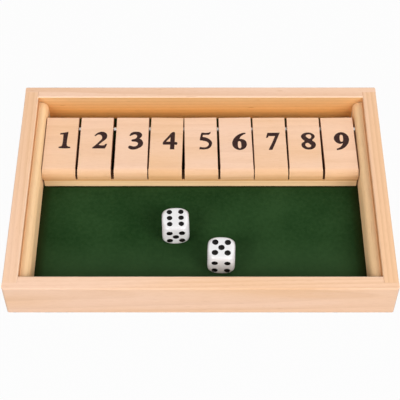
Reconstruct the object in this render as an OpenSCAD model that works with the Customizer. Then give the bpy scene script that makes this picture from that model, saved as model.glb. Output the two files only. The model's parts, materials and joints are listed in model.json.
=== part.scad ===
// Flip-tile number game: nine numbered tiles hinged on a steel rod in an open wooden
// tray with a felt floor, and two dice. Millimetres.
// X runs across the tray, Y from the player to the back, Z up.
// The origin is on the table, under the middle of the tray.

/* [Case] */
// Width of the case, left to right
case_w = 220; // [190:1:300]
// Depth of the case, front to back
case_d = 150; // [135:1:220]
// Height of the four rails
case_h = 25; // [23:0.5:40]
// Thickness of the four rails
rail_t = 8.4; // [7:0.1:12]
// Rounding of the rails' long edges
rail_edge_r = 0.6; // [0.2:0.1:1.5]
// Rounding of the case's four upright corners
case_corner_r = 1.5; // [0.5:0.1:3]

/* [Floor] */
// Height of the floor board above the table
board_lift = 1.5; // [1:0.1:4]
// Thickness of the floor board
board_t = 2.5; // [2:0.1:4]
// Depth of the groove that holds the floor board
groove_depth = 3; // [1.5:0.1:3.4]
// Play of the floor board in its groove, on each side
board_play = 0.2; // [0.1:0.05:0.6]
// Thickness of the felt
felt_t = 1; // [0.5:0.1:2]
// Gap between the felt's edge and the rails
felt_gap = 0.3; // [0.1:0.1:1]

/* [Cheeks] */
// Thickness of the strip inside each side rail
cheek_t = 5.6; // [5.1:0.1:8]
// Radius of the strip's inner top edge
cheek_round_r = 4.4; // [1:0.1:4.6]
// Rounding of the strip's other long edges
cheek_edge_r = 0.3; // [0.1:0.1:0.4]
// Gap at each end of the strip
cheek_end_gap = 0.5; // [0.1:0.1:0.8]
// How far the strip stands above the tiles
cheek_rise = 2; // [0.5:0.1:4]

/* [Tiles] */
// Length of a tile, nose to tail
tile_l = 44; // [38:0.1:54]
// Thickness of a tile
tile_t = 7; // [6:0.1:8]
// Mean gap between two tiles
tile_gap = 1.15; // [0.8:0.05:2]
// Radius of the nose's upper edge
nose_top_r = 4.4; // [1:0.1:5]
// Radius of the nose's lower edge
nose_under_r = 0.4; // [0.2:0.1:0.9]
// Rounding of a tile's long edges
tile_edge_r = 0.4; // [0.1:0.1:1]

/* [Rod] */
// Diameter of the steel rod
rod_d = 3; // [2:0.1:3.6]
// Distance from the back rail to the rod
rod_setback = 18.1; // [14:0.1:24]
// Distance from the rod to a tile's tail
tile_tail = 6.9; // [5:0.1:8]
// Radial play of a tile on the rod
tile_play = 0.1; // [0.05:0.01:0.3]
// Depth of the rod's blind hole in each cheek
socket_depth = 4; // [2:0.1:4.2]
// Radial play of the rod in its blind holes
socket_play = 0.05; // [0.02:0.01:0.2]
// Gap at each end of the rod
rod_end_gap = 0.3; // [0.1:0.1:1]
// Bevel of the rod's ends
rod_bevel = 0.4; // [0.1:0.1:0.8]

/* [Rest bar] */
// Width of the bar that the tiles lie on, front to back
bar_w = 8; // [4:0.1:12]
// Height of the bar above the felt
bar_h = 6.5; // [6:0.1:8]
// Gap at each end of the bar
bar_end_gap = 1; // [0.2:0.1:2]
// How far the tiles' noses overhang the bar
bar_setback = 0.3; // [0:0.1:1]
// Rounding of the bar's long edges
bar_edge_r = 0.3; // [0.1:0.1:1.5]

/* [Dice] */
// Width of a die across its flats
die_size = 16; // [12:0.1:18]
// Rounding of a die's edges
die_edge_r = 1.2; // [0.3:0.1:2]
// Diameter of the ball that trims a die's corners
die_ball_d = 22.3; // [18:0.1:30]
// Diameter of a pip
pip_d = 3.6; // [2:0.1:4]
// Diameter of a pip on the face with six
pip_of_six_d = 3.1; // [2:0.1:3.4]
// Depth of a pip
pip_depth = 0.7; // [0.2:0.1:1]
// Distance from a face's middle to its outer pips, each way
pip_reach = 3.6; // [2.5:0.1:4.2]
// Distance from the middle to each of the two rows of six
pip_row_offset = 3.35; // [2.5:0.05:4.2]
// Distance from the middle of such a row to its end pips
pip_row_reach = 4.3; // [3.6:0.1:4.6]

/* [Hidden] */
$fn = 64;
over = 1; // how far a cut runs past what it cuts

TILE_COUNT = 9;
TILE_NODES = [for (number = [1:TILE_COUNT]) str("tile_", number)];

// The tiles have slid a little along the rod, and their bores aren't quite square.
// How far each tile lies off its even place, and how far its nose then leans to the
// right, both as shares of the mean gap.
TILE_SHIFT = [-0.3, -0.15, 0.5, 0.5, 0, 0, -0.25, -0.3, -0.5];
NOSE_LEAN = [0, -0.1, -0.15, -0.55, 0.55, 0.7, 0.45, 0.1, 0.5];

// Each die: its place in the tray from the tray's middle, its turn in degrees, and
// the numbers on its top, front and right faces. Opposite faces add up to seven.
LEFT_DIE = [[-14.6, 3.9], 2.3, [6, 5, 3]];
RIGHT_DIE = [[12, -16.9], -2, [5, 4, 1]];
FACE_SUM = 7;

WOOD = "#f0c9a3";
INNER_WOOD = "#e9bd8c";
FELT = "#1f4a28";
STEEL = "#c9cbce";
WHITE = "#f4f3f1";

// The case
rail_lap = rail_t / 2; // what each corner's rabbet leaves of the cross rail
inner_w = case_w - 2 * rail_t;
inner_d = case_d - 2 * rail_t;
lane_w = inner_w - 2 * cheek_t; // between the cheeks

// Levels
board_top = board_lift + board_t;
felt_top = board_top + felt_t;
tile_bottom = felt_top + bar_h;
tile_top = tile_bottom + tile_t;
rod_z = tile_bottom + tile_t / 2;
cheek_h = tile_top + cheek_rise - felt_top;

// Places from front to back
back_face_y = case_d / 2 - rail_t;
rod_y = back_face_y - rod_setback;
nose_y = rod_y + tile_tail - tile_l;
tray_middle_y = (nose_y - back_face_y) / 2;

// The tile row
tile_pitch = lane_w / TILE_COUNT;
tile_w = tile_pitch - tile_gap;
function tile_x(number) =
    (number - (TILE_COUNT + 1) / 2) * tile_pitch + TILE_SHIFT[number - 1] * tile_gap;
function tile_turn(number) =
    asin(NOSE_LEAN[number - 1] * tile_gap / (tile_l - tile_tail));

// What a router takes off a square corner that lies at the origin, +x and +y of it
module corner_waste(r) {
    difference() {
        translate([-over, -over])
            square(r + over);
        translate([r, r])
            circle(r);
    }
}

// A w by h rectangle from the origin, with a radius for each corner:
// [lower left, lower right, upper right, upper left]
module soft_rect(w, h, radii) {
    corners = [[0, 0], [w, 0], [w, h], [0, h]];
    difference() {
        square([w, h]);
        for (i = [0:3])
            translate(corners[i])
                rotate(90 * i)
                    corner_waste(radii[i]);
    }
}

// Runs a section drawn as [depth, height] along X
module along_x(l) {
    rotate([90, 0, 90])
        linear_extrude(l, center = true)
            children();
}

// Runs a section drawn as [width, height] along Y
module along_y(l) {
    rotate([90, 0, 0])
        linear_extrude(l, center = true)
            children();
}

// Section of a rail, from its outer face at 0 inwards, with the floor board's groove
module rail_section() {
    difference() {
        soft_rect(rail_t, case_h, [rail_edge_r / 2, 0, rail_edge_r, rail_edge_r]);
        translate([rail_t - groove_depth, board_lift])
            square([groove_depth + over, board_t + board_play]);
    }
}

// A rail across the case, in front: as wide as the case, with a rabbet at each end
// for the side rail
module cross_rail() {
    color(WOOD)
        difference() {
            intersection() {
                translate([0, -case_d / 2, 0])
                    along_x(case_w)
                        rail_section();
                linear_extrude(case_h)
                    translate([-case_w / 2, -case_d / 2])
                        soft_rect(case_w, case_d, [for (i = [0:3]) case_corner_r]);
            }
            for (side = [-1, 1])
                translate([side * case_w / 2, rail_lap - case_d / 2 + rail_t / 2, case_h / 2])
                    cube([2 * rail_t, rail_t, case_h + 2 * over], center = true);
        }
}

module front_rail() {
    cross_rail();
}

module back_rail() {
    mirror([0, 1, 0])
        cross_rail();
}

module left_rail() {
    color(WOOD)
        translate([-case_w / 2, 0, 0])
            along_y(case_d - 2 * rail_lap)
                rail_section();
}

module right_rail() {
    mirror([1, 0, 0])
        left_rail();
}

module base_board() {
    reach = groove_depth - board_play;
    color(INNER_WOOD)
        translate([-inner_w / 2 - reach, -inner_d / 2 - reach, board_lift])
            cube([inner_w + 2 * reach, inner_d + 2 * reach, board_t]);
}

module felt_lining() {
    color(FELT)
        translate([felt_gap - inner_w / 2, felt_gap - inner_d / 2, board_top])
            cube([inner_w - 2 * felt_gap, inner_d - 2 * felt_gap, felt_t]);
}

// The strip that carries the rod: a quarter round on its inner top edge, and a
// blind hole drilled from the lane
module left_cheek() {
    color(INNER_WOOD)
        difference() {
            translate([-inner_w / 2, 0, felt_top])
                along_y(inner_d - 2 * cheek_end_gap)
                    soft_rect(cheek_t, cheek_h,
                        [cheek_edge_r, cheek_edge_r, cheek_round_r, cheek_edge_r]);
            translate([-lane_w / 2 - socket_depth, rod_y, rod_z])
                rotate([0, 90, 0])
                    cylinder(d = rod_d + 2 * socket_play, h = socket_depth + over);
        }
}

module right_cheek() {
    mirror([1, 0, 0])
        left_cheek();
}

module rest_bar() {
    color(INNER_WOOD)
        translate([0, nose_y + bar_setback, felt_top])
            along_x(lane_w - 2 * bar_end_gap)
                soft_rect(bar_w, bar_h, [for (i = [0:3]) bar_edge_r]);
}

module pivot_rod() {
    length = lane_w + 2 * (socket_depth - rod_end_gap);
    color(STEEL)
        translate([-length / 2, rod_y, rod_z])
            rotate([0, 90, 0])
                rotate_extrude()
                    polygon([
                        [0, 0],
                        [rod_d / 2 - rod_bevel, 0],
                        [rod_d / 2, rod_bevel],
                        [rod_d / 2, length - rod_bevel],
                        [rod_d / 2 - rod_bevel, length],
                        [0, length]
                    ]);
}

// One tile about its bore: a bullnose block, eased along its length, and turned
// about the bore that keeps it on the rod
module tile_block(turn) {
    difference() {
        rotate([0, 0, turn])
            intersection() {
                translate([0, tile_tail - tile_l, -tile_t / 2])
                    along_x(tile_w)
                        soft_rect(tile_l, tile_t,
                            [nose_under_r, tile_edge_r, tile_edge_r, nose_top_r]);
                translate([-tile_w / 2, tile_tail - tile_l / 2, -tile_t / 2])
                    along_y(tile_l + 2 * over)
                        soft_rect(tile_w, tile_t, [for (i = [0:3]) tile_edge_r]);
            }
        rotate([0, 90, 0])
            cylinder(d = rod_d + 2 * tile_play, h = tile_w + 4 * over, center = true);
    }
}

module tile(number) {
    color(WOOD)
        translate([tile_x(number), rod_y, rod_z])
            tile_block(tile_turn(number));
}

// A bar of rounded square section, as long as a die is wide
module die_prism() {
    translate([-die_size / 2, -die_size / 2, -die_size / 2])
        linear_extrude(die_size)
            soft_rect(die_size, die_size, [for (i = [0:3]) die_edge_r]);
}

module die_blank() {
    intersection() {
        die_prism();
        rotate([90, 0, 0])
            die_prism();
        rotate([0, 90, 0])
            die_prism();
        sphere(d = die_ball_d);
    }
}

// Where the pips of a number lie on its face
function pip_spots(number) =
    let (a = pip_reach)
    number == 1 ? [[0, 0]] :
    number == 2 ? [[-a, a], [a, -a]] :
    number == 3 ? [[-a, a], [0, 0], [a, -a]] :
    number == 4 ? [[-a, a], [a, a], [-a, -a], [a, -a]] :
    number == 5 ? [[-a, a], [a, a], [0, 0], [-a, -a], [a, -a]] :
    [for (x = [-pip_row_offset, pip_row_offset])
        for (y = [-pip_row_reach, 0, pip_row_reach]) [x, y]];

// The balls that sink the pips of a number into the face above the origin
module pip_balls(number) {
    opening_r = (number == 6 ? pip_of_six_d : pip_d) / 2;
    ball_r = (opening_r * opening_r + pip_depth * pip_depth) / (2 * pip_depth);
    for (spot = pip_spots(number))
        translate([spot[0], spot[1], die_size / 2 - pip_depth + ball_r])
            sphere(ball_r);
}

module die(facts) {
    place = facts[0];
    turn = facts[1];
    top_number = facts[2][0];
    front_number = facts[2][1];
    right_number = facts[2][2];
    faces = [
        [[0, 0, 0], top_number],
        [[180, 0, 0], FACE_SUM - top_number],
        [[90, 0, 0], front_number],
        [[-90, 0, 0], FACE_SUM - front_number],
        [[0, 90, 0], right_number],
        [[0, -90, 0], FACE_SUM - right_number]
    ];
    color(WHITE)
        translate([place[0], tray_middle_y + place[1], felt_top + die_size / 2])
            rotate([0, 0, turn])
                difference() {
                    die_blank();
                    for (face = faces)
                        rotate(face[0])
                            pip_balls(face[1]);
                }
}

module die_left() {
    die(LEFT_DIE);
}

module die_right() {
    die(RIGHT_DIE);
}

front_rail();
back_rail();
left_rail();
right_rail();
base_board();
felt_lining();
left_cheek();
right_cheek();
rest_bar();
pivot_rod();
for (number = [1:TILE_COUNT])
    tile(number);
die_left();
die_right();
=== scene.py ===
"""Finishes, numbers, felt, dice and studio for a flip-tile number game."""

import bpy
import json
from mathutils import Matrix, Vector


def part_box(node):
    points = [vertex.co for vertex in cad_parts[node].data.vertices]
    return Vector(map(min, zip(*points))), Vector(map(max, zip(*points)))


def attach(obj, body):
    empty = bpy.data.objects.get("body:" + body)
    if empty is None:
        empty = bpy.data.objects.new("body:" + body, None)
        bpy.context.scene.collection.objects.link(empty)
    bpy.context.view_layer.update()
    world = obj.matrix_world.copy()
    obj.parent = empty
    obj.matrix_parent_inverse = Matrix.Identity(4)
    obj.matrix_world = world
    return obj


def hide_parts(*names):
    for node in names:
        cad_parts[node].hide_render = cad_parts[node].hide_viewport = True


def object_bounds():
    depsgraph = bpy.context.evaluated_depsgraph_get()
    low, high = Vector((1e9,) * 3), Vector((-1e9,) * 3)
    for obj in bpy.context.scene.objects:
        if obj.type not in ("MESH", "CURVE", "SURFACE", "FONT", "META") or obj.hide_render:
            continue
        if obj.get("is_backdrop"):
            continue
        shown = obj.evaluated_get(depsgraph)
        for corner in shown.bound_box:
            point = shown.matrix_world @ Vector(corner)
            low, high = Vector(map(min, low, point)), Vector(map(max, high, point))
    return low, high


bl_info = {
    "name": "Flip-tile number game",
    "version": (1, 0, 0),
    "blender": (4, 5, 0),
    "location": "View3D > Sidebar > Tile game",
    "description": "Dresses a nine-tile number game in lacquered wood, felt, ink and plastic",
    "category": "Object",
}

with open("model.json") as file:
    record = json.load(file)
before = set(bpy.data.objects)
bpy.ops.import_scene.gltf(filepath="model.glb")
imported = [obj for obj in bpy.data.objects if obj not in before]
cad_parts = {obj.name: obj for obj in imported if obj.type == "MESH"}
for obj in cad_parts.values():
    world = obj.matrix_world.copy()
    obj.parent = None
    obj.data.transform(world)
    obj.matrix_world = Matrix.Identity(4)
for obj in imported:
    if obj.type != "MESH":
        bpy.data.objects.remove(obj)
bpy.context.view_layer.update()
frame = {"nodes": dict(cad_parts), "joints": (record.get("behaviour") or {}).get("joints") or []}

import json
import math
import random

import bmesh
import bpy
from bpy.props import FloatProperty, FloatVectorProperty, IntProperty, PointerProperty
from mathutils import Euler, Matrix, Vector, noise

MM = 0.001

# What every colour, and every length, among the settings shares
COLOUR = {"subtype": "COLOR", "size": 3, "min": 0, "max": 1}
LENGTH = {"subtype": "DISTANCE", "unit": "LENGTH"}

CASE_RAILS = ("front_rail", "back_rail", "left_rail", "right_rail")
INNER_STRIPS = ("left_cheek", "right_cheek", "rest_bar", "base_board")
TILE_NUMBERS = range(1, 10)

ALONG_X = "X"
ALONG_Y = "Y"

# The log that each long piece was sawn from: the way its grain runs, a point in
# millimetres on the heart of the log, and the degrees that the heart climbs along it
# and, where it does, drifts to the side
PLANKS = {
    "front_rail": (ALONG_X, (-48, -40.7, 20), 2.0, -10),
    "back_rail": (ALONG_X, (30, 84, -30), -2.5),
    "left_rail": (ALONG_Y, (-128, -20, 2), 3.0),
    "right_rail": (ALONG_Y, (136, 30, 9), -2.0),
    "left_cheek": (ALONG_Y, (-90, 0, -14), 2.0),
    "right_cheek": (ALONG_Y, (84, 20, -10), -3.0),
    "rest_bar": (ALONG_X, (0, 30, -16), 2.0),
    "base_board": (ALONG_X, (0, 40, -60), 1.5),
}

# Painted shade on the wood, in the tray's corners and creases and on faces turned from the light:
# the way that such faces look, how closely they look so (1 is straight that way), two heights in
# millimetres above the table, and the tints of WoodSettings that lie at those heights
PAINTED_SHADES = {
    # Painted shade on the back rail's inner face: warmer and darker towards the floor
    "back_rail": [((0, -1, 0), (0.85, 1), (12, 24), ("painted_shade_low", "painted_shade_high"))],
    # Painted shade in the step between each side rail's inner face and its cheek
    "left_rail": [((1, 0, 0), (0.8, 1), (22.8, 24.2), ("seam", "clean"))],
    "right_rail": [((-1, 0, 0), (0.8, 1), (22.8, 24.2), ("seam", "clean"))],
    # Painted shade on the bar: over its top, under the tiles, and along the top of its front
    # face, under the noses
    "rest_bar": [
        ((0, 0, 1), (0.85, 1), (11, 12), ("painted_shade_tone", "painted_shade_tone")),
        ((0, -1, 0), (0.5, 0.9), (10.2, 10.7), ("clean", "seam")),
    ],
}
# Painted shade on each tile's round nose, darker where it turns down and away, and in the crease
# where the nose meets the bar
TILE_PAINTED_SHADES = [
    ((0, -1, 0), (0.1, 0.7), (13.5, 17), ("nose_painted_shade_low", "nose_painted_shade_high")),
    ((0, -1, 0), (0, 0.3), (11.6, 12.3), ("seam", "clean")),
]

# The way into the tray from each rail's top inner edge, and how pale that edge is made: partly
# wear, partly a painted highlight where its rounding catches the light
WORN_AND_HIGHLIT_EDGES = {
    "front_rail": ((0, 1, 0), 0.7),
    "back_rail": ((0, -1, 0), 0.45),
    "left_rail": ((1, 0, 0), 0.4),
    "right_rail": ((-1, 0, 0), 0.2),
}

# How warm the wood of each long piece and of each tile is, from 0 to 1
PLANK_WARMTH = {
    "front_rail": 0.45, "back_rail": 0.0, "left_rail": 0.75, "right_rail": 1.0,
    "left_cheek": 0.5, "right_cheek": 0.7, "rest_bar": 0.2, "base_board": 0.5,
}
TILE_WARMTH = (0.7, 0.5, 0.1, 1.0, 0.3, 0.1, 0.8, 0.65, 0.35)

# How much of the range from pale to warm one long piece, or one tile, takes up
PLANK_SPREAD = 0.6
TILE_SPREAD = 0.4

# Starts the choice of the log, and of the place in it, that each tile was sawn from
LOG_SEED = 9

# The long pieces that dark streaks show on, and how dark they are
STREAKS = {"back_rail": 0.8, "front_rail": 0.3, "left_cheek": 0.3, "right_cheek": 0.3}

SHARP = "sharp"

# The outlines of the numbers, in millimetres from the tile's centre line and from
# the line that the numbers stand on. A point is smooth unless it is marked sharp.
NUMBER_OUTLINES = {
    1: [[
        (3.9, 13.0, SHARP), (3.6, 2.6), (4.1, 1.6), (5.8, 1.0, SHARP), (5.8, 0.2, SHARP),
        (2.4, 0.0), (-1.1, 0.3, SHARP), (-1.0, 1.1, SHARP), (0.6, 1.7), (1.0, 2.9),
        (1.2, 11.1, SHARP), (-0.8, 11.1, SHARP), (-0.8, 12.0, SHARP), (1.6, 12.4),
    ]],
    2: [[
        (-1.1, 10.0, SHARP), (0.4, 11.9), (3.4, 13.1), (5.8, 11.9), (6.55, 9.7), (5.9, 7.4),
        (4.2, 5.6), (1.5, 2.7, SHARP), (3.2, 2.2), (5.3, 2.3, SHARP), (6.0, 3.4, SHARP),
        (6.8, 3.4, SHARP), (6.3, 1.7), (5.7, 0.0, SHARP), (-1.9, 0.0, SHARP),
        (-1.8, 0.7, SHARP), (0.3, 2.9), (2.5, 5.8), (3.7, 7.7), (3.6, 9.4), (2.5, 10.8),
        (1.0, 11.0), (-0.5, 9.8, SHARP),
    ]],
    3: [[
        (-1.6, 10.4, SHARP), (-0.2, 12.4), (2.6, 13.1), (5.2, 12.2), (6.0, 10.4), (5.5, 9.0),
        (4.4, 7.8, SHARP), (5.9, 6.5), (6.8, 4.0), (6.1, 1.8), (3.9, 0.0), (1.1, -0.9),
        (-1.0, -0.5), (-2.0, 0.8), (-1.2, 1.9), (0.2, 1.5), (1.7, 1.3), (3.3, 2.1),
        (3.9, 3.6), (3.3, 4.9), (1.6, 5.4), (0.1, 5.6), (-0.1, 6.5), (1.2, 7.1), (2.6, 8.0),
        (3.2, 9.6), (2.5, 10.8), (1.2, 11.1), (-0.2, 10.5), (-1.2, 9.9, SHARP),
    ]],
    4: [[
        (3.7, 12.8), (4.4, 12.9), (5.0, 12.4, SHARP), (5.0, 5.0, SHARP), (6.4, 4.8, SHARP),
        (6.7, 4.0), (6.4, 3.0, SHARP), (4.9, 3.0, SHARP), (4.9, -0.7, SHARP),
        (2.5, -0.7, SHARP), (2.6, 3.0, SHARP), (-1.9, 3.0, SHARP), (-2.1, 4.3, SHARP),
        (-1.4, 5.7), (0.4, 8.3),
    ], [
        (2.6, 9.3, SHARP), (2.5, 5.1, SHARP), (-0.4, 5.1, SHARP),
    ]],
    5: [[
        (0.6, 12.3, SHARP), (4.7, 12.2), (6.0, 12.8, SHARP), (5.8, 11.8), (5.0, 10.8, SHARP),
        (1.2, 10.7, SHARP), (1.0, 8.9, SHARP), (3.2, 8.3), (5.3, 6.9), (6.6, 4.8), (6.5, 2.5),
        (4.9, 0.0), (2.4, -0.8), (-0.9, -0.7, SHARP), (-0.6, 1.0, SHARP), (1.0, 0.6),
        (3.1, 0.7), (4.6, 2.0), (4.9, 3.6), (3.8, 5.2), (1.9, 5.9), (-0.5, 6.5, SHARP),
        (-0.1, 9.4),
    ]],
    6: [[
        (6.2, 12.0, SHARP), (5.2, 12.1), (2.4, 11.0), (0.0, 8.9), (-1.5, 6.3), (-2.0, 3.4),
        (-1.2, 0.8), (0.7, -0.9), (2.7, -1.3), (4.9, -0.4), (6.4, 1.7), (6.5, 4.4), (5.4, 6.4),
        (3.9, 7.1), (2.2, 7.3, SHARP), (2.9, 9.0), (4.5, 10.5), (6.1, 11.4, SHARP),
    ], [
        (2.2, 5.7), (1.1, 3.1), (2.4, -0.2), (3.5, 2.7),
    ]],
    7: [[
        (-1.0, 12.2, SHARP), (6.3, 12.2, SHARP), (5.1, 9.0), (3.4, 4.4), (1.2, -1.1, SHARP),
        (-0.8, -1.1, SHARP), (1.5, 4.2), (3.7, 9.8, SHARP), (-0.7, 9.8, SHARP),
        (-1.1, 8.6, SHARP), (-2.0, 8.4, SHARP), (-1.5, 10.6),
    ]],
    8: [[
        (2.8, 12.4), (5.2, 11.6), (6.6, 9.5), (5.9, 7.8), (4.9, 6.4), (6.4, 4.6), (6.9, 2.7),
        (5.6, 0.1), (2.7, -0.9), (-0.4, 0.1), (-1.7, 2.5), (-1.1, 4.2), (0.3, 5.6),
        (-0.9, 7.3), (-1.6, 9.3), (-0.4, 11.4),
    ], [
        (2.7, 11.1), (1.1, 10.0), (2.0, 8.3), (3.5, 7.5), (4.7, 8.9), (4.2, 10.7),
    ], [
        (1.8, 4.4), (0.4, 2.9), (1.1, 1.2), (2.9, 0.6), (4.3, 1.9), (3.3, 3.5),
    ]],
    9: [[
        (-1.7, -1.3, SHARP), (-0.6, -1.2), (2.2, -0.1), (4.6, 2.3), (6.0, 5.2), (6.3, 7.9),
        (5.4, 10.5), (3.6, 12.2), (1.6, 12.6), (-0.7, 11.6), (-2.3, 9.5), (-2.7, 7.3),
        (-1.6, 4.9), (0.5, 3.6), (2.2, 4.0, SHARP), (2.5, 3.8, SHARP), (1.6, 1.9), (0.1, 0.4),
        (-1.6, -0.5, SHARP),
    ], [
        (1.9, 10.8), (0.6, 8.1), (1.7, 5.0), (3.0, 7.9),
    ]],
}

# How close two points of a number's mesh are where they are merged, in millimetres
WELD_DISTANCE = 0.001

# Each die's turn in degrees and the numbers on its top, front and right faces
DICE = {"die_left": (2.3, (6, 5, 3)), "die_right": (-2.0, (5, 4, 1))}
OPPOSITE_FACES_SUM = 7

# The steps round the ball that a pip is part of, and the least angle of a sharp edge
PIP_STEPS = 28
CREASE_ANGLE = math.radians(30)

# Each lamp's bearing from the player's side towards the right, and its height, in degrees
LAMPS = (
    ("front_right", 45, 35), ("front_left", -45, 35),
    ("back_right", 140, 45), ("back_left", -140, 45),
)

# The grey of the floor for all light but the eye's
FLOOR_GREY = 0.35

# The length of one wave of a Wave Texture whose scale is 1, in metres
UNIT_WAVE = math.tau / 20

# How far from the cheeks, before the bar and behind it the felt is darkened with painted shade
CONTACT_SHADE_BY_CHEEK = 6 * MM
CONTACT_SHADE_BEFORE_BAR = 1.8 * MM
CONTACT_SHADE_BEHIND_BAR = 6 * MM


class WoodSettings(bpy.types.PropertyGroup):
    """The lacquered wood of the case, the strips and the tiles"""

    pale: FloatVectorProperty(
        name="Pale wood", description="Colour of the palest wood",
        default=(0.915, 0.63, 0.474), **COLOUR,
    )
    warm: FloatVectorProperty(
        name="Warm wood", description="Colour of the warmest wood",
        default=(0.865, 0.54, 0.32), **COLOUR,
    )
    late: FloatVectorProperty(
        name="Ring lines", description="Colour of the thin lines between growth rings",
        default=(0.62, 0.33, 0.16), **COLOUR,
    )
    # Partly the strips' own tone, partly painted light: brighter and warmer than the rails, to
    # lift the strips out of the tray's shade and stand for its warm bounced light
    inner: FloatVectorProperty(
        name="Inner strips", description="Colour of the cheeks and the rest bar",
        default=(0.99, 0.69, 0.385), **COLOUR,
    )
    inner_warm: FloatVectorProperty(
        name="Warm inner strips", description="Warmest colour of the cheeks and the rest bar",
        default=(0.96, 0.62, 0.33), **COLOUR,
    )
    # Painted shade: the tints of the back rail's inner face near its top and near the floor,
    # warmer and darker towards the floor
    painted_shade_high: FloatVectorProperty(
        name="Shelter", description="Tint of the back rail's inner face, which is least bleached",
        default=(0.88, 0.8, 0.53), **COLOUR,
    )
    painted_shade_low: FloatVectorProperty(
        name="Deep shelter", description="Tint of that face near the floor, stained by dust",
        default=(1.0, 0.68, 0.28), **COLOUR,
    )
    # Partly wear, partly painted highlight: the paler colour of the rails' inner top edges
    worn_and_highlit_edge: FloatVectorProperty(
        name="Worn edge", description="Colour of the rails' inner edges, worn pale",
        default=(1.0, 0.86, 0.68), **COLOUR,
    )
    # Painted shade: the tint that darkens the bar's top, under the tiles
    painted_shade_tone: FloatVectorProperty(
        name="Rubbed", description="Tint of the bar's top, which the tiles have rubbed dark",
        default=(0.4, 0.3, 0.22), **COLOUR,
    )
    # Painted shade in creases: the side rails' steps by the cheeks, the top of the bar's front
    # face under the noses, and the foot of each nose
    seam: FloatVectorProperty(
        name="Seam", description="Tint of the wood along a seam, where glue and dirt lie",
        default=(0.72, 0.55, 0.37), **COLOUR,
    )
    # Painted shade on the tiles' round noses: the tint of the nose's upper part, and below it the
    # tint of its lower part
    nose_painted_shade_high: FloatVectorProperty(
        name="Tanned", description="Tint of the upper half of a tile's round nose",
        default=(0.87, 0.82, 0.7), **COLOUR,
    )
    nose_painted_shade_low: FloatVectorProperty(
        name="Handled", description="Tint of the lower half of that nose, where fingers lift it",
        default=(0.93, 0.83, 0.61), **COLOUR,
    )
    # No tint: where a painted shade fades out
    clean: FloatVectorProperty(
        name="Clean", description="Tint of wood that nothing has stained",
        default=(1.0, 1.0, 1.0), **COLOUR,
    )
    # Partly the wood's own darker end grain, partly painted shade: very dark, so that the narrow
    # gaps between tiles look shaded
    end_grain_and_gap_shade: FloatVectorProperty(
        name="End grain", description="Colour of the sawn ends of a board",
        default=(0.23, 0.085, 0.035), **COLOUR,
    )
    ring_spacing: FloatProperty(
        name="Ring spacing", description="Mean distance between growth rings",
        min=0.5 * MM, max=10 * MM, default=2.6 * MM, **LENGTH,
    )
    ring_strength: FloatProperty(
        name="Ring strength", description="How strongly the ring lines show",
        subtype="FACTOR", min=0, max=1, default=0.36,
    )
    stretch: FloatProperty(
        name="Grain stretch", description="How much longer than wide the grain's marks are",
        min=1, max=40, default=9,
    )


class FeltSettings(bpy.types.PropertyGroup):
    """The green felt on the tray's floor"""

    dark: FloatVectorProperty(
        name="Dark felt", description="Colour of the felt's hollows",
        default=(0.011, 0.037, 0.0092), **COLOUR,
    )
    light: FloatVectorProperty(
        name="Light felt", description="Colour of the felt's raised nap",
        default=(0.0235, 0.061, 0.0187), **COLOUR,
    )
    # Painted light: the colour that the felt nearest the player is made lighter towards
    painted_front_light: FloatVectorProperty(
        name="Faded felt", description="Colour of the felt nearest the player, faded by light",
        default=(0.042, 0.092, 0.034), **COLOUR,
    )
    # Painted shade: the felt along the cheeks, and at the foot of the bar and under it, is made
    # darker
    painted_contact_shade: FloatVectorProperty(
        name="Dusty felt", description="Colour of the felt along the cheeks and the bar",
        default=(0.014, 0.014, 0.003), **COLOUR,
    )
    cell: FloatProperty(
        name="Mesh cell", description="Size of the cells that the felt's mesh is made of",
        min=0.5 * MM, max=10 * MM, default=1.6 * MM, **LENGTH,
    )
    nap: FloatProperty(
        name="Nap", description="Height of the felt's soft unevenness",
        min=0, max=0.3 * MM, default=0.09 * MM, **LENGTH,
    )


class NumberSettings(bpy.types.PropertyGroup):
    """The numbers printed on the tiles"""

    ink: FloatVectorProperty(
        name="Ink", description="Colour of the ink",
        default=(0.026, 0.01, 0.008), **COLOUR,
    )
    base_line: FloatProperty(
        name="Base line", description="Distance from the rod to the line the numbers stand on",
        min=14 * MM, max=24 * MM, default=17.9 * MM, **LENGTH,
    )
    thickness: FloatProperty(
        name="Ink thickness", description="Thickness of the layer of ink, part of it soaked in",
        min=0.02 * MM, max=0.1 * MM, default=0.06 * MM, **LENGTH,
    )
    ink_spread: FloatProperty(
        name="Ink spread", description="How far the ink has spread past the outlines",
        min=0, max=0.3 * MM, default=0.15 * MM, **LENGTH,
    )
    curve_steps: IntProperty(
        name="Curve steps", description="Straight steps between two points of an outline",
        min=2, max=24, default=8,
    )


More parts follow.
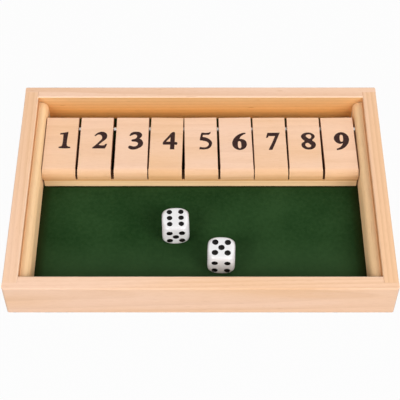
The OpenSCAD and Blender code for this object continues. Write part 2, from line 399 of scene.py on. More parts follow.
class DiceSettings(bpy.types.PropertyGroup):
    """The two dice and the paint in their pips"""

    plastic: FloatVectorProperty(
        name="Plastic", description="Colour of the dice",
        default=(0.8, 0.79, 0.79), **COLOUR,
    )
    paint: FloatVectorProperty(
        name="Pip paint", description="Colour of the paint in the pips",
        default=(0.004, 0.0033, 0.003), **COLOUR,
    )
    pip_width: FloatProperty(
        name="Pip width", description="Diameter of a pip",
        min=2 * MM, max=4 * MM, default=3.8 * MM, **LENGTH,
    )
    pip_of_six_width: FloatProperty(
        name="Pip width on the six", description="Diameter of a pip on the face with six",
        min=2 * MM, max=3.5 * MM, default=3.3 * MM, **LENGTH,
    )
    pip_depth: FloatProperty(
        name="Pip depth", description="Depth of a pip",
        min=0.2 * MM, max=1 * MM, default=0.7 * MM, **LENGTH,
    )
    pip_reach: FloatProperty(
        name="Pip reach", description="Distance from a face's middle to its outer pips",
        min=2.5 * MM, max=4.2 * MM, default=3.6 * MM, **LENGTH,
    )
    pip_row_offset: FloatProperty(
        name="Row offset", description="Distance from the middle to each of the two rows of six",
        min=2.5 * MM, max=4.2 * MM, default=3.35 * MM, **LENGTH,
    )
    pip_row_reach: FloatProperty(
        name="Row reach", description="Distance from the middle of such a row to its end pips",
        min=3.6 * MM, max=4.6 * MM, default=4.3 * MM, **LENGTH,
    )
    coat: FloatProperty(
        name="Paint coat", description="Thickness of the paint that shows in a pip",
        min=0.02 * MM, max=0.1 * MM, default=0.04 * MM, **LENGTH,
    )
    pip_rise: FloatProperty(
        name="Pip rise", description="How far past a face the tool that hollows a pip reaches",
        min=0.05 * MM, max=0.2 * MM, default=0.15 * MM, **LENGTH,
    )
    ball_width: FloatProperty(
        name="Ball width", description="Diameter of the ball that rounds a die's corners",
        min=20 * MM, max=26 * MM, default=22.3 * MM, **LENGTH,
    )
    crispness: FloatProperty(
        name="Crispness", description="How sharply a die's faces turn into its round rims",
        min=6, max=30, default=17,
    )
    # Painted shade: the dice's rounded rims are made darker than their flat faces
    painted_shade_tone: FloatVectorProperty(
        name="Rubbed plastic", description="Colour of the dice's rims, rubbed dull",
        default=(0.7, 0.68, 0.69), **COLOUR,
    )
    cells: IntProperty(
        name="Cells", description="Mesh cells along a die's edge",
        min=8, max=60, default=36,
    )


class RodSettings(bpy.types.PropertyGroup):
    """The steel rod that the tiles turn on"""

    steel: FloatVectorProperty(
        name="Steel", description="Colour of the steel",
        default=(0.68, 0.66, 0.62), **COLOUR,
    )


class StudioSettings(bpy.types.PropertyGroup):
    """The floor, the lamps and the camera"""

    daylight: FloatProperty(
        name="Daylight", description="Strength of the even white light from all round",
        min=0, max=2, default=0.05,
    )
    front_right_power: FloatProperty(
        name="Front right lamp", description="Power of the soft lamp in front, to the right",
        unit="POWER", min=0, max=100, default=40.3,
    )
    front_left_power: FloatProperty(
        name="Front left lamp", description="Power of the soft lamp in front, to the left",
        unit="POWER", min=0, max=100, default=30.9,
    )
    back_right_power: FloatProperty(
        name="Back right lamp", description="Power of the soft lamp behind, to the right",
        unit="POWER", min=0, max=100, default=11.9,
    )
    back_left_power: FloatProperty(
        name="Back left lamp", description="Power of the soft lamp behind, to the left",
        unit="POWER", min=0, max=100, default=4.9,
    )
    lamp_distance: FloatProperty(
        name="Lamp distance", description="Distance from each lamp to the middle of the floor",
        min=0.5, max=5, default=2.2, **LENGTH,
    )
    lamp_width: FloatProperty(
        name="Lamp width", description="Width of each square lamp",
        min=0.1, max=2, default=1.26, **LENGTH,
    )
    floor_glow: FloatProperty(
        name="Floor glow", description="How white the floor looks whatever shadow falls on it",
        subtype="FACTOR", min=0, max=1, default=0.965,
    )
    floor_width: FloatProperty(
        name="Floor width", description="Width of the floor",
        min=1, max=20, default=6, **LENGTH,
    )
    camera_place: FloatVectorProperty(
        name="Camera place", description="Where the camera stands",
        subtype="TRANSLATION", unit="LENGTH", size=3, default=(0.00074, -0.40859, 0.55419),
    )
    camera_pitch: FloatProperty(
        name="Camera pitch", description="How far the camera looks down",
        subtype="ANGLE", unit="ROTATION", default=math.radians(53.272),
    )
    camera_heading: FloatProperty(
        name="Camera heading", description="How far the camera looks to the left",
        subtype="ANGLE", unit="ROTATION", default=math.radians(0.145),
    )
    camera_roll: FloatProperty(
        name="Camera roll", description="How far the camera is tipped",
        subtype="ANGLE", unit="ROTATION", default=math.radians(-0.12),
    )
    lens: FloatProperty(
        name="Lens", description="Focal length on a film 36 millimetres wide",
        subtype="DISTANCE_CAMERA", unit="CAMERA", min=20, max=300, default=101.83,
    )


class TileGameSettings(bpy.types.PropertyGroup):
    """Every size and colour of the game"""

    wood: PointerProperty(type=WoodSettings)
    felt: PointerProperty(type=FeltSettings)
    numbers: PointerProperty(type=NumberSettings)
    dice: PointerProperty(type=DiceSettings)
    rod: PointerProperty(type=RodSettings)
    studio: PointerProperty(type=StudioSettings)


def connect(tree, node, inputs):
    """Links each of a node's inputs to a socket, or fills in its value."""
    for key, value in inputs.items():
        if isinstance(value, bpy.types.NodeSocket):
            tree.links.new(value, node.inputs[key])
        else:
            node.inputs[key].default_value = value


def add_node(tree, kind, inputs=None, **settings):
    """Adds a node, sets it up and connects it."""
    node = tree.nodes.new(kind)
    for name, value in settings.items():
        setattr(node, name, value)
    connect(tree, node, inputs or {})
    return node


def opaque(colour):
    """A colour with its alpha, which is always 1."""
    return (*colour, 1)


def mix_colours(tree, factor, first, second, blend_type="MIX"):
    """A mix of two colours, each a socket or a colour with its alpha."""
    node = add_node(
        tree, "ShaderNodeMix", {0: factor, 6: first, 7: second},
        data_type="RGBA", blend_type=blend_type,
    )
    return node.outputs[2]


def calculate(tree, operation, first, second=0.0):
    """A sum, product or other result of two values, each a socket or a number."""
    node = add_node(tree, "ShaderNodeMath", {0: first, 1: second}, operation=operation)
    return node.outputs[0]


def noise_at(tree, place, scale, detail=2.0, roughness=0.5):
    """Noise at a place, with about as many waves to the metre as its scale says."""
    node = add_node(
        tree, "ShaderNodeTexNoise",
        {"Vector": place, "Scale": scale, "Detail": detail, "Roughness": roughness},
    )
    return node.outputs["Fac"]


def remap(tree, value, from_low, from_high, to_low, to_high):
    """Stretches a range of values onto another, and holds it there."""
    node = add_node(
        tree, "ShaderNodeMapRange",
        {"Value": value, "From Min": from_low, "From Max": from_high,
         "To Min": to_low, "To Max": to_high},
    )
    return node.outputs[0]


def new_material(name):
    """A material with nothing but its shader, and that shader."""
    material = bpy.data.materials.new(name)
    material.use_nodes = True
    shader = material.node_tree.nodes["Principled BSDF"]
    return material, material.node_tree, shader


def bump(tree, shader, height, distance, strength):
    """Gives a shader fine relief, up to a distance in metres."""
    node = add_node(
        tree, "ShaderNodeBump", {"Height": height, "Distance": distance, "Strength": strength},
    )
    connect(tree, shader, {"Normal": node.outputs[0]})


def straightness(tree, normal):
    """The largest of a direction's three shares: 1 on a face that looks along an axis."""
    size = add_node(tree, "ShaderNodeVectorMath", {0: normal}, operation="ABSOLUTE").outputs[0]
    parts = add_node(tree, "ShaderNodeSeparateXYZ", {0: size}).outputs
    return calculate(tree, "MAXIMUM", calculate(tree, "MAXIMUM", parts[0], parts[1]), parts[2])


def looks(tree, where, way, reach):
    """How far a surface looks a certain way: 0 and 1 at the two ends of the reach."""
    node = add_node(
        tree, "ShaderNodeVectorMath", {0: where.outputs["Normal"], 1: way},
        operation="DOT_PRODUCT",
    )
    return remap(tree, node.outputs["Value"], *reach, 0, 1)


def with_painted_shade(tree, where, colour, way, reach, heights, tints):
    """A colour given painted shade on the faces that look a certain way, as the table of painted
    shade has it.
    """
    wood = bpy.context.scene.tile_game.wood
    height = add_node(tree, "ShaderNodeSeparateXYZ", {0: where.outputs["Object"]}).outputs[2]
    rise = remap(tree, height, heights[0] * MM, heights[1] * MM, 0, 1)
    low_tint, high_tint = (opaque(getattr(wood, name)) for name in tints)
    tint = mix_colours(tree, rise, low_tint, high_tint)
    return mix_colours(tree, looks(tree, where, way, reach), colour, tint, "MULTIPLY")


def wood_material(
    name, pale, warm, grain, heart, climb, drift=0.0, end_share=0.25, ringed=1.0,
    streaked=0.0, worn=None, painted_shades=(),
):
    """Lacquered wood, as a solid block: rings round the heart of the log that it was
    sawn from, fibres and pores along the grain, and darker end grain, which on the
    tiles is also painted shade in the gaps between them. It may be streaked, its inner
    top edge made paler as wear and painted highlight, and its faces given painted
    shade, as the tables of streaks, of worn and highlit edges and of painted shade
    have it."""
    wood = bpy.context.scene.tile_game.wood
    material, tree, shader = new_material(name)
    squeeze = 1 / wood.stretch
    if grain == ALONG_X:
        scale = Vector((squeeze, 1, 1))
        turn = Euler((0, -math.radians(climb), math.radians(drift)))
        grain_way = (1, 0, 0)
    else:
        scale = Vector((1, squeeze, 1))
        turn = Euler((math.radians(climb), 0, math.radians(drift) - math.pi / 2))
        grain_way = (0, 1, 0)
    heart_shift = -(turn.to_matrix() @ (Vector(heart) * MM * scale))
    where = add_node(tree, "ShaderNodeTexCoord")
    log = add_node(
        tree, "ShaderNodeMapping",
        {"Vector": where.outputs["Object"], "Location": heart_shift,
         "Rotation": turn, "Scale": scale},
    ).outputs[0]

    rings = add_node(
        tree, "ShaderNodeTexWave",
        {"Vector": log, "Scale": UNIT_WAVE / wood.ring_spacing, "Distortion": 3.2,
         "Detail": 2.0, "Detail Scale": 0.35, "Detail Roughness": 0.55},
        wave_type="RINGS", rings_direction="X", wave_profile="SAW",
    ).outputs["Fac"]
    # A ring darkens slowly, and ends sharply where the next one starts
    late_wood = add_node(tree, "ShaderNodeValToRGB", {"Fac": rings})
    ramp = late_wood.color_ramp
    ramp.elements[0].position = 0.35
    ramp.elements[0].color = (0, 0, 0, 1)
    ramp.elements[1].position = 0.93
    ramp.elements[1].color = (1, 1, 1, 1)
    ramp.elements.new(1.0).color = (0, 0, 0, 1)
    ring_presence = remap(tree, noise_at(tree, log, 38, 1.0), 0.35, 0.7, 0.35, 1)
    ring_mask = calculate(tree, "MULTIPLY", late_wood.outputs[0], ring_presence)

    blotches = remap(tree, noise_at(tree, log, 55, 3.0), 0.36, 0.64, 0, 1)
    fibres = noise_at(tree, log, 1500, 4.0, 0.6)
    pores = remap(tree, noise_at(tree, log, 2600, 1.0), 0.62, 0.74, 0, 1)

    colour = mix_colours(tree, blotches, opaque(pale), opaque(warm))
    ring_share = calculate(tree, "MULTIPLY", ring_mask, ringed * wood.ring_strength)
    colour = mix_colours(tree, ring_share, colour, opaque(wood.late))
    fibre_shade = remap(tree, fibres, 0.3, 0.7, 0.0, 0.14)
    colour = mix_colours(tree, fibre_shade, colour, opaque(wood.late))
    pore_shade = calculate(tree, "MULTIPLY", pores, 0.2)
    colour = mix_colours(tree, pore_shade, colour, opaque(wood.late))
    if streaked:
        streaks = remap(tree, noise_at(tree, log, 700, 1.5, 0.6), 0.7, 0.77, 0, streaked)
        colour = mix_colours(tree, streaks, colour, opaque(wood.late))
    # Darker end grain, which on the tiles is also painted shade in the gaps between them
    one_end = looks(tree, where, grain_way, (0.5, 0.8))
    other_end = looks(tree, where, grain_way, (-0.5, -0.8))
    either_end = calculate(tree, "MAXIMUM", one_end, other_end)
    end_grain_and_gap_shade = calculate(tree, "MULTIPLY", either_end, end_share)
    colour = mix_colours(tree, end_grain_and_gap_shade, colour, opaque(wood.end_grain_and_gap_shade))
    # Painted shade, from the table of tints
    for painted_shade in painted_shades:
        colour = with_painted_shade(tree, where, colour, *painted_shade)
    # Painted highlight and wear: the rails' inner top edges are made paler
    if worn:
        way, wear_and_highlight = worn
        slope = calculate(tree, "SUBTRACT", 1.0, straightness(tree, where.outputs["Normal"]))
        edge = remap(tree, slope, 0.01, 0.12, 0, wear_and_highlight)
        inner_edge = calculate(tree, "MULTIPLY", edge, looks(tree, where, way, (0.1, 0.3)))
        colour = mix_colours(tree, inner_edge, colour, opaque(wood.worn_and_highlit_edge))
    roughness = remap(tree, fibres, 0.3, 0.7, 0.5, 0.66)
    connect(tree, shader, {
        "Base Color": colour, "Roughness": roughness, "Specular IOR Level": 0.2,
        "Coat Weight": 0.15, "Coat Roughness": 0.3,
    })
    relief = calculate(tree, "SUBTRACT", calculate(tree, "MULTIPLY", fibres, 0.5), pores)
    bump(tree, shader, relief, 0.03 * MM, 0.6)
    return material


def shades(pale, warm, warmth, spread):
    """The palest and the warmest colour of one piece of wood. Its warmth places their
    range, and the spread is that range's share of the whole from pale to warm."""
    start = warmth * (1 - spread)
    return tuple(Vector(pale).lerp(Vector(warm), share) for share in (start, start + spread))


def felt_material():
    """Napped felt: mottled at three scales, with a soft sheen, painted light nearest the player
    and painted shade along the cheeks and at the foot of the bar and under it.
    """
    felt = bpy.context.scene.tile_game.felt
    material, tree, shader = new_material("green_felt_nap")
    place = add_node(tree, "ShaderNodeTexCoord").outputs["Object"]
    clouds = noise_at(tree, place, 34, 3.0)
    tufts = noise_at(tree, place, 420, 3.0, 0.6)
    fuzz = noise_at(tree, place, 2600, 2.0, 0.7)
    tone = calculate(tree, "MULTIPLY", clouds, 0.45)
    tone = calculate(tree, "ADD", tone, calculate(tree, "MULTIPLY", tufts, 0.35))
    tone = calculate(tree, "ADD", tone, calculate(tree, "MULTIPLY", fuzz, 0.2))
    share = remap(tree, tone, 0.38, 0.62, 0, 1)
    colour = mix_colours(tree, share, opaque(felt.dark), opaque(felt.light))
    tray_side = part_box("right_cheek")[0].x
    tray_back, well_front = (corner.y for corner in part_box("rest_bar"))
    tray_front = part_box("front_rail")[1].y
    x, y = add_node(tree, "ShaderNodeSeparateXYZ", {0: place}).outputs[:2]
    # Painted light: the felt is made lighter towards the player
    painted_front_light_share = remap(tree, y, 0.4 * tray_front, tray_front, 0, 0.9)
    colour = mix_colours(tree, painted_front_light_share, colour, opaque(felt.painted_front_light))
    # Painted shade along the cheeks and at the foot of the bar
    sideways = calculate(tree, "ABSOLUTE", x)
    beside_cheek = remap(tree, sideways, tray_side - CONTACT_SHADE_BY_CHEEK, tray_side, 0, 0.9)
    before_bar = remap(tree, y, tray_back - CONTACT_SHADE_BEFORE_BAR, tray_back, 0, 1)
    behind_bar = remap(tree, y, well_front, well_front + CONTACT_SHADE_BEHIND_BAR, 1, 0)
    beside_bar = calculate(tree, "MINIMUM", before_bar, behind_bar)
    contact_shade_share = calculate(tree, "MAXIMUM", beside_cheek, beside_bar)
    colour = mix_colours(tree, contact_shade_share, colour, opaque(felt.painted_contact_shade))
    connect(tree, shader, {
        "Base Color": colour, "Roughness": 0.95, "Specular IOR Level": 0.0,
        "Sheen Weight": 0.02, "Sheen Roughness": 0.6, "Sheen Tint": (0.55, 0.8, 0.5, 1),
    })
    relief = calculate(tree, "ADD", tufts, calculate(tree, "MULTIPLY", fuzz, 0.6))
    bump(tree, shader, relief, 0.35 * MM, 0.7)
    return material


def ink_material():
    """Printing ink that has soaked into the wood a little unevenly."""
    numbers = bpy.context.scene.tile_game.numbers
    material, tree, shader = new_material("number_ink")
    place = add_node(tree, "ShaderNodeTexCoord").outputs["Object"]
    grain = add_node(
        tree, "ShaderNodeMapping", {"Vector": place, "Scale": (0.15, 1, 1)},
    ).outputs[0]
    soak = noise_at(tree, grain, 1600, 3.0, 0.6)
    worn = tuple(channel * 1.8 + 0.01 for channel in numbers.ink)
    share = remap(tree, soak, 0.4, 0.75, 0, 1)
    colour = mix_colours(tree, share, opaque(numbers.ink), opaque(worn))
    roughness = remap(tree, soak, 0.3, 0.7, 0.5, 0.7)
    connect(tree, shader, {
        "Base Color": colour, "Roughness": roughness, "Specular IOR Level": 0.1,
    })
    bump(tree, shader, soak, 0.02 * MM, 0.5)
    return material


def plastic_material():
    """Polished white plastic with faint clouds and handling scratches, and painted shade on the
    rounded rims.
    """
    dice = bpy.context.scene.tile_game.dice
    material, tree, shader = new_material("white_dice_plastic")
    where = add_node(tree, "ShaderNodeTexCoord")
    place = where.outputs["Object"]
    clouds = noise_at(tree, place, 260, 2.0)
    greyed = tuple(channel * 0.96 for channel in dice.plastic)
    colour = mix_colours(tree, clouds, opaque(dice.plastic), opaque(greyed))
    # Painted shade on the rounded rims
    slope = calculate(tree, "SUBTRACT", 1.0, straightness(tree, where.outputs["Normal"]))
    colour = mix_colours(tree, remap(tree, slope, 0.01, 0.25, 0, 1), colour, opaque(dice.painted_shade_tone))
    brushed = add_node(
        tree, "ShaderNodeMapping",
        {"Vector": place, "Scale": (1, 0.1, 0.4), "Rotation": (0.4, 0.3, 0.9)},
    ).outputs[0]
    scratches = noise_at(tree, brushed, 5200, 2.0, 0.6)
    roughness = remap(tree, scratches, 0.45, 0.75, 0.2, 0.34)
    connect(tree, shader, {
        "Base Color": colour, "Roughness": roughness, "Coat Weight": 0.2,
        "Coat Roughness": 0.12,
    })
    bump(tree, shader, clouds, 0.02 * MM, 0.4)
    return material


def pip_paint_material():
    """Glossy black paint that has pooled in the pips."""
    dice = bpy.context.scene.tile_game.dice
    material, tree, shader = new_material("black_pip_paint")
    place = add_node(tree, "ShaderNodeTexCoord").outputs["Object"]
    pooled = noise_at(tree, place, 900, 2.0)
    thin = tuple(channel * 2.5 for channel in dice.paint)
    colour = mix_colours(tree, pooled, opaque(dice.paint), opaque(thin))
    roughness = remap(tree, pooled, 0.3, 0.7, 0.04, 0.1)
    connect(tree, shader, {
        "Base Color": colour, "Roughness": roughness, "Specular IOR Level": 0.07,
    })
    return material


def steel_material():
    """Drawn steel rod with fine marks along it."""
    rod = bpy.context.scene.tile_game.rod
    material, tree, shader = new_material("drawn_rod_steel")
    place = add_node(tree, "ShaderNodeTexCoord").outputs["Object"]
    drawn = add_node(
        tree, "ShaderNodeMapping", {"Vector": place, "Scale": (0.03, 1, 1)},
    ).outputs[0]
    marks = noise_at(tree, drawn, 6000, 3.0, 0.6)
    dull = tuple(channel * 0.8 for channel in rod.steel)
    colour = mix_colours(tree, marks, opaque(rod.steel), opaque(dull))
    roughness = remap(tree, marks, 0.3, 0.7, 0.2, 0.36)
    connect(tree, shader, {"Base Color": colour, "Metallic": 1.0, "Roughness": roughness})
    return material


def dress(node, material):
    """Gives a carried-over piece its finish."""
    mesh = frame["nodes"][node].data
    mesh.materials.clear()
    mesh.materials.append(material)


def new_piece(name, mesh, material, body):
    """Puts a mesh that is already in place on a body, in a finish."""
    old = bpy.data.objects.get(name)
    if old:
        bpy.data.objects.remove(old)
    piece = bpy.data.objects.new(name, mesh)
    bpy.context.scene.collection.objects.link(piece)
    mesh.materials.append(material)
    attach(piece, body)
    return piece


def mesh_of(bm, name, smooth):
    """Turns a bmesh into a mesh with its faces pointing outwards."""
    bmesh.ops.recalc_face_normals(bm, faces=bm.faces)
    mesh = bpy.data.meshes.new(name)
    bm.to_mesh(mesh)
    bm.free()
    mesh.polygons.foreach_set("use_smooth", [smooth] * len(mesh.polygons))
    return mesh


def tile_pivot(number):
    """Where a tile's bore crosses the rod."""
    joint = next(j for j in frame["joints"] if j["name"] == f"tile_{number}_flip")
    return Vector(joint["pos_m"])


def tile_lean(number):
    """The small angle that a tile's nose leans to the right, from its box."""
    low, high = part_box(f"tile_{number}")
    pivot = tile_pivot(number)
    sideways = low.x + high.x - 2 * pivot.x
    lengthways = 2 * pivot.y - low.y - high.y
    return math.atan(sideways / lengthways)


def number_mesh(number):
    """A number as a thin closed layer, lying on its tile."""
    numbers = bpy.context.scene.tile_game.numbers
    name = f"number_{number}"
    outline_data = bpy.data.curves.new(name + "_outline", "CURVE")
    outline_data.dimensions = "2D"
    outline_data.fill_mode = "BOTH"
    outline_data.resolution_u = numbers.curve_steps
    outline_data.extrude = numbers.thickness / 2 / MM
    outline_data.offset = numbers.ink_spread / MM
    for outline in NUMBER_OUTLINES[number]:
        spline = outline_data.splines.new("BEZIER")
        spline.bezier_points.add(len(outline) - 1)
        spline.use_cyclic_u = True
        for point, (x, y, *sharp) in zip(spline.bezier_points, outline):
            point.co = (x, y, 0)
            point.handle_left_type = "VECTOR" if sharp else "AUTO"
            point.handle_right_type = point.handle_left_type
    outline_object = bpy.data.objects.new(name + "_outline", outline_data)
    bpy.context.scene.collection.objects.link(outline_object)
    depsgraph = bpy.context.evaluated_depsgraph_get()
    filled = bpy.data.meshes.new_from_object(outline_object.evaluated_get(depsgraph))
    bpy.data.objects.remove(outline_object)
    bpy.data.curves.remove(outline_data)

    tile_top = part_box(f"tile_{number}")[1].z
    pivot = tile_pivot(number)
    bm = bmesh.new()
    bm.from_mesh(filled)
    bpy.data.meshes.remove(filled)
    bmesh.ops.remove_doubles(bm, verts=bm.verts, dist=WELD_DISTANCE)
    # The number is drawn in millimetres, and placed in metres
    place = (
        Matrix.Translation((pivot.x, pivot.y, tile_top))
        @ Matrix.Rotation(tile_lean(number), 4, "Z")
        @ Matrix.Translation((0, -numbers.base_line, 0))
        @ Matrix.Scale(MM, 4)
    )
    bmesh.ops.transform(bm, matrix=place, verts=bm.verts)
    return mesh_of(bm, name, smooth=False)


def felt_mesh():
    """The felt: a closed soft sheet whose nap rises and falls a little."""
    felt = bpy.context.scene.tile_game.felt
    low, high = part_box("felt_lining")
    size = high - low
    middle = (low + high) / 2
    bm = bmesh.new()
    bmesh.ops.create_grid(
        bm, x_segments=round(size.x / felt.cell), y_segments=round(size.y / felt.cell), size=0.5,
    )
    place = Matrix.Translation((middle.x, middle.y, high.z))
    stretch = Matrix.Diagonal((size.x, size.y, 1, 1))
    bmesh.ops.transform(bm, matrix=place @ stretch, verts=bm.verts)
    for vertex in bm.verts:
        unevenness = 0.6 * noise.noise(vertex.co * 90) + 0.4 * noise.noise(vertex.co * 340)
        vertex.co.z -= felt.nap * (0.5 - 0.5 * unevenness)
    skirt = [edge for edge in bm.edges if edge.is_boundary]
    wall = bmesh.ops.extrude_edge_only(bm, edges=skirt)["geom"]
    lowest = [item for item in wall if isinstance(item, bmesh.types.BMVert)]
    for vertex in lowest:
        vertex.co.z = low.z
    bmesh.ops.contextual_create(bm, geom=[e for e in bm.edges if e.is_boundary])
    return mesh_of(bm, "green_felt", smooth=True)


def pip_spots(number):
    """Where the pips of a number lie on its face."""
    dice = bpy.context.scene.tile_game.dice
    if number == 6:
        rows = (-dice.pip_row_offset, dice.pip_row_offset)
        return [(x, y) for x in rows for y in (-dice.pip_row_reach, 0, dice.pip_row_reach)]
    reach = dice.pip_reach
    middle = [(0, 0)] if number % 2 else []
    rising = [(-reach, reach), (reach, -reach)] if number > 1 else []
    falling = [(reach, reach), (-reach, -reach)] if number > 3 else []
    return middle + rising + falling


def add_cap(bm, place, radius, level, thickness=0.0):
    """Adds the part of a ball below a level that is counted from its middle: solid, or
    as a shell that is thickened outwards."""
    ball = bmesh.ops.create_uvsphere(
        bm, u_segments=PIP_STEPS, v_segments=PIP_STEPS, radius=radius,
    )
    verts = ball["verts"]
    faces = {face for vertex in verts for face in vertex.link_faces}
    edges = {edge for vertex in verts for edge in vertex.link_edges}
    cut = bmesh.ops.bisect_plane(
        bm, geom=[*verts, *edges, *faces], plane_co=(0, 0, level), plane_no=(0, 0, 1),
        clear_outer=True,
    )
    cap = [item for item in cut["geom"] if isinstance(item, bmesh.types.BMFace)]
    before = set(bm.faces) - set(cap)
    if thickness:
        bmesh.ops.solidify(bm, geom=cap, thickness=thickness)
    else:
        rim = [item for item in cut["geom_cut"] if isinstance(item, bmesh.types.BMEdge)]
        bmesh.ops.contextual_create(bm, geom=rim)
    made = {vertex for face in bm.faces if face not in before for vertex in face.verts}
    bmesh.ops.transform(bm, matrix=place, verts=list(made))


def pips_mesh(die, painted):
    """The shells of paint that line a die's pips or, unpainted, the balls' ends that
    hollow them."""
    dice = bpy.context.scene.tile_game.dice
    half = die_size(die) / 2
    top, front, right = DICE[die][1]
    faces = (
        (("X", 0), top), (("X", 180), OPPOSITE_FACES_SUM - top),
        (("X", 90), front), (("X", -90), OPPOSITE_FACES_SUM - front),
        (("Y", 90), right), (("Y", -90), OPPOSITE_FACES_SUM - right),
    )
    bm = bmesh.new()
    for (axis, angle), number in faces:
        width = dice.pip_of_six_width if number == 6 else dice.pip_width
        radius = (width**2 / 4 + dice.pip_depth**2) / (2 * dice.pip_depth)
        middle = half - dice.pip_depth + radius
        onto_face = Matrix.Rotation(math.radians(angle), 4, axis)
        level = half - middle
        for x, y in pip_spots(number):
            place = onto_face @ Matrix.Translation((x, y, middle))
            if painted:
                add_cap(bm, place, radius - dice.coat, level - dice.coat / 2, 1.5 * dice.coat)
            else:
                add_cap(bm, place, radius, level + dice.pip_rise)
    return mesh_of(bm, "pips_of_" + die, smooth=True)


def die_size(die):
    """The width of a die across its flats, which its height shows however it is turned."""
    low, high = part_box(die)
    return high.z - low.z


def rounded_cube_mesh(die):
    """A die before its pips are made: a cube that a ball rounds, without a crease."""
    dice = bpy.context.scene.tile_game.dice
    half = die_size(die) / 2
    ball = dice.ball_width / 2
    bm = bmesh.new()
    bmesh.ops.create_cube(bm, size=2 * half)
    bmesh.ops.subdivide_edges(bm, edges=bm.edges[:], cuts=dice.cells - 1, use_grid_fill=True)
    flat = 1 + (half / ball)**dice.crispness
    for vertex in bm.verts:
        way = vertex.co.normalized()
        rise = sum(abs(share)**dice.crispness for share in way) + (half / ball)**dice.crispness
        vertex.co = half * (rise / flat)**(-1 / dice.crispness) * way
    return mesh_of(bm, "rounded_" + die, smooth=True)


def carved(stock_mesh, tool_mesh):
    """The mesh that is left when one mesh is cut from another."""
    stock = bpy.data.objects.new("stock", stock_mesh)
    tool = bpy.data.objects.new("tool", tool_mesh)
    for item in (stock, tool):
        bpy.context.scene.collection.objects.link(item)
    carving = stock.modifiers.new("carving", "BOOLEAN")
    carving.operation = "DIFFERENCE"
    carving.solver = "EXACT"
    carving.object = tool
    depsgraph = bpy.context.evaluated_depsgraph_get()
    result = bpy.data.meshes.new_from_object(stock.evaluated_get(depsgraph))
    # The two objects go with their meshes
    for mesh in (stock_mesh, tool_mesh):
        bpy.data.meshes.remove(mesh)
    return result


def lay_die(mesh, die):
    """Turns a finished mesh as the die lies, and moves it there."""
    low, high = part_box(die)
    turn = math.radians(DICE[die][0])
    mesh.transform(Matrix.Translation((low + high) / 2) @ Matrix.Rotation(turn, 4, "Z"))
    mesh.set_sharp_from_angle(angle=CREASE_ANGLE)


class TILE_GAME_OT_case(bpy.types.Operator):
    """Finish the four rails, the cheeks, the rest bar and the base board in wood"""

    bl_idname = "tile_game.case"
    bl_label = "Finish the case"

    def execute(self, context):
        wood = context.scene.tile_game.wood
        for node in CASE_RAILS + INNER_STRIPS:
            colours = (wood.inner, wood.inner_warm)
            if node in CASE_RAILS:
                colours = (wood.pale, wood.warm)
            pale, warm = shades(*colours, PLANK_WARMTH[node], PLANK_SPREAD)
            finish = wood_material(
                node + "_wood", pale, warm, *PLANKS[node], streaked=STREAKS.get(node, 0),
                worn=WORN_AND_HIGHLIT_EDGES.get(node), painted_shades=PAINTED_SHADES.get(node, ()),
            )
            dress(node, finish)
        return {"FINISHED"}


class TILE_GAME_OT_tiles(bpy.types.Operator):
    """Finish the nine tiles, each cut from another stretch of the same moulding"""

    bl_idname = "tile_game.tiles"
    bl_label = "Finish the tiles"

    def execute(self, context):
        wood = context.scene.tile_game.wood
        chance = random.Random(LOG_SEED)
        for number, warmth in zip(TILE_NUMBERS, TILE_WARMTH):
            heart = (chance.uniform(-300, 300), chance.uniform(10, 50), chance.uniform(-45, -25))
            climb = chance.uniform(-4, 4)
            pale, warm = shades(wood.pale, wood.warm, warmth, TILE_SPREAD)
            name = f"tile_{number}"
            # The tiles' end grain is much darker than the rails': partly painted shade in the
            # gaps between the tiles
            finish = wood_material(
                name + "_wood", pale, warm, ALONG_X, heart, climb, end_share=0.85, ringed=0.6,
                painted_shades=TILE_PAINTED_SHADES,
            )
            dress(name, finish)
        return {"FINISHED"}


class TILE_GAME_OT_numbers(bpy.types.Operator):
    """Print the numbers on the tiles"""

    bl_idname = "tile_game.numbers"
    bl_label = "Print the numbers"

    def execute(self, context):
        ink = ink_material()
        for number in TILE_NUMBERS:
            new_piece(f"number_{number}", number_mesh(number), ink, f"tile_{number}")
        return {"FINISHED"}


class TILE_GAME_OT_rod(bpy.types.Operator):
    """Finish the rod in drawn steel"""

    bl_idname = "tile_game.rod"
    bl_label = "Finish the rod"

    def execute(self, context):
        dress("pivot_rod", steel_material())
        return {"FINISHED"}


class TILE_GAME_OT_felt(bpy.types.Operator):
    """Lay the felt on the tray's floor"""

    bl_idname = "tile_game.felt"
    bl_label = "Lay the felt"

    def execute(self, context):
        felt = new_piece("green_felt", felt_mesh(), felt_material(), "case")
        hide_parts("felt_lining")
        return {"FINISHED"}


class TILE_GAME_OT_dice(bpy.types.Operator):
    """Round and hollow the dice, finish them in white plastic and paint their pips black"""

    bl_idname = "tile_game.dice"
    bl_label = "Finish the dice"

    def execute(self, context):
        plastic = plastic_material()
        paint = pip_paint_material()
        for die in DICE:
            body_mesh = carved(rounded_cube_mesh(die), pips_mesh(die, painted=False))
            paint_mesh = pips_mesh(die, painted=True)
            for mesh in (body_mesh, paint_mesh):
                lay_die(mesh, die)
            body = new_piece("rounded_" + die, body_mesh, plastic, die)
            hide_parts(die)
            new_piece("pips_of_" + die, paint_mesh, paint, die)
        return {"FINISHED"}


def seen_directly(tree):
    """1 for rays from the camera, a reflection or a see-through surface, else 0."""
    path = add_node(tree, "ShaderNodeLightPath")
    seen = calculate(
        tree, "MAXIMUM", path.outputs["Is Camera Ray"], path.outputs["Is Glossy Ray"],
    )
    return calculate(tree, "MAXIMUM", seen, path.outputs["Is Transmission Ray"])


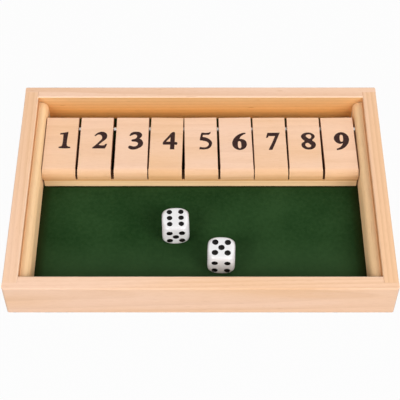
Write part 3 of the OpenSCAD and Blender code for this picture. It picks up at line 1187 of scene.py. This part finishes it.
def floor_material(glow):
    """White paper that glows for the eye and scatters light like plain paper."""
    material, tree, shader = new_material("white_floor_paper")
    grey = opaque([FLOOR_GREY] * 3)
    connect(tree, shader, {"Base Color": grey, "Roughness": 1.0, "Specular IOR Level": 0.0})
    white = add_node(tree, "ShaderNodeEmission", {"Color": (1, 1, 1, 1), "Strength": 1.0})
    share = calculate(tree, "MULTIPLY", seen_directly(tree), glow)
    both = add_node(
        tree, "ShaderNodeMixShader", {0: share, 1: shader.outputs[0], 2: white.outputs[0]},
    )
    connect(tree, tree.nodes["Material Output"], {"Surface": both.outputs[0]})
    return material


def add_floor(studio):
    """The white paper that the game stands on."""
    floor_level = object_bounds()[0].z
    bm = bmesh.new()
    bmesh.ops.create_grid(bm, x_segments=4, y_segments=4, size=studio.floor_width / 2)
    bmesh.ops.translate(bm, verts=bm.verts, vec=(0, 0, floor_level))
    mesh = bpy.data.meshes.new("studio_floor")
    bm.to_mesh(mesh)
    bm.free()
    mesh.materials.append(floor_material(studio.floor_glow))
    floor = bpy.data.objects.new("studio_floor", mesh)
    bpy.context.scene.collection.objects.link(floor)
    floor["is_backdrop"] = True


def add_daylight(studio):
    """Even white light from all round, which is plain white where it is seen."""
    scene = bpy.context.scene
    world = bpy.data.worlds.new("studio_daylight")
    world.use_nodes = True
    tree = world.node_tree
    light = tree.nodes["Background"]
    connect(tree, light, {"Color": (1, 1, 1, 1), "Strength": studio.daylight})
    backdrop = add_node(tree, "ShaderNodeBackground", {"Color": (1, 1, 1, 1), "Strength": 1.0})
    both = add_node(
        tree, "ShaderNodeMixShader",
        {0: seen_directly(tree), 1: light.outputs[0], 2: backdrop.outputs[0]},
    )
    connect(tree, tree.nodes["World Output"], {"Surface": both.outputs[0]})
    scene.world = world


def add_lamp(studio, name, bearing, height_angle):
    """A soft square lamp that faces the game. Its bearing counts from the player's side,
    in degrees, towards the right."""
    data = bpy.data.lights.new(name, "AREA")
    data.energy = getattr(studio, name + "_power")
    data.shape = "SQUARE"
    data.size = studio.lamp_width
    lamp = bpy.data.objects.new(name + "_lamp", data)
    turn = Euler((-math.radians(height_angle), 0, math.radians(bearing)))
    place = turn.to_matrix() @ Vector((0, -studio.lamp_distance, 0))
    lamp.location = place
    lamp.rotation_euler = (-place).to_track_quat("-Z", "Y").to_euler()
    bpy.context.scene.collection.objects.link(lamp)


def add_camera(studio):
    """The camera in front of the game and above it."""
    data = bpy.data.cameras.new("studio_camera")
    data.sensor_width = 36
    data.lens = studio.lens
    data.clip_start = 0.01
    data.clip_end = 50
    camera = bpy.data.objects.new("studio_camera", data)
    camera.location = studio.camera_place
    aim = (
        Matrix.Rotation(studio.camera_heading, 4, "Z")
        @ Matrix.Rotation(math.pi / 2 - studio.camera_pitch, 4, "X")
        @ Matrix.Rotation(studio.camera_roll, 4, "Z")
    )
    camera.rotation_euler = aim.to_euler()
    bpy.context.scene.collection.objects.link(camera)
    bpy.context.scene.camera = camera


class TILE_GAME_OT_studio(bpy.types.Operator):
    """Set up the floor, the lamps and the camera"""

    bl_idname = "tile_game.studio"
    bl_label = "Set up the studio"

    def execute(self, context):
        studio = context.scene.tile_game.studio
        context.scene.view_settings.view_transform = "Standard"
        add_floor(studio)
        add_daylight(studio)
        for name, bearing, height_angle in LAMPS:
            add_lamp(studio, name, bearing, height_angle)
        add_camera(studio)
        return {"FINISHED"}


OPERATORS = (
    TILE_GAME_OT_studio, TILE_GAME_OT_case, TILE_GAME_OT_tiles, TILE_GAME_OT_numbers,
    TILE_GAME_OT_rod, TILE_GAME_OT_felt, TILE_GAME_OT_dice,
)


class TILE_GAME_PT_panel(bpy.types.Panel):
    """Every step and setting of the game"""

    bl_label = "Tile game"
    bl_idname = "TILE_GAME_PT_panel"
    bl_space_type = "VIEW_3D"
    bl_region_type = "UI"
    bl_category = "Tile game"

    def draw(self, context):
        game = context.scene.tile_game
        for operator in OPERATORS:
            self.layout.operator(operator.bl_idname)
        for group in (game.wood, game.felt, game.numbers, game.dice, game.rod, game.studio):
            box = self.layout.box()
            for name in group.__annotations__:
                box.prop(group, name)


GROUPS = (
    WoodSettings, FeltSettings, NumberSettings, DiceSettings, RodSettings, StudioSettings,
    TileGameSettings,
)


def register():
    for cls in (*GROUPS, *OPERATORS, TILE_GAME_PT_panel):
        bpy.utils.register_class(cls)
    bpy.types.Scene.tile_game = PointerProperty(type=TileGameSettings)


def unregister():
    del bpy.types.Scene.tile_game
    for cls in reversed((*GROUPS, *OPERATORS, TILE_GAME_PT_panel)):
        bpy.utils.unregister_class(cls)


def main():
    register()
    bpy.ops.tile_game.studio()
    bpy.ops.tile_game.case()
    bpy.ops.tile_game.tiles()
    bpy.ops.tile_game.numbers()
    bpy.ops.tile_game.rod()
    bpy.ops.tile_game.felt()
    bpy.ops.tile_game.dice()


if __name__ == "__main__":
    main()
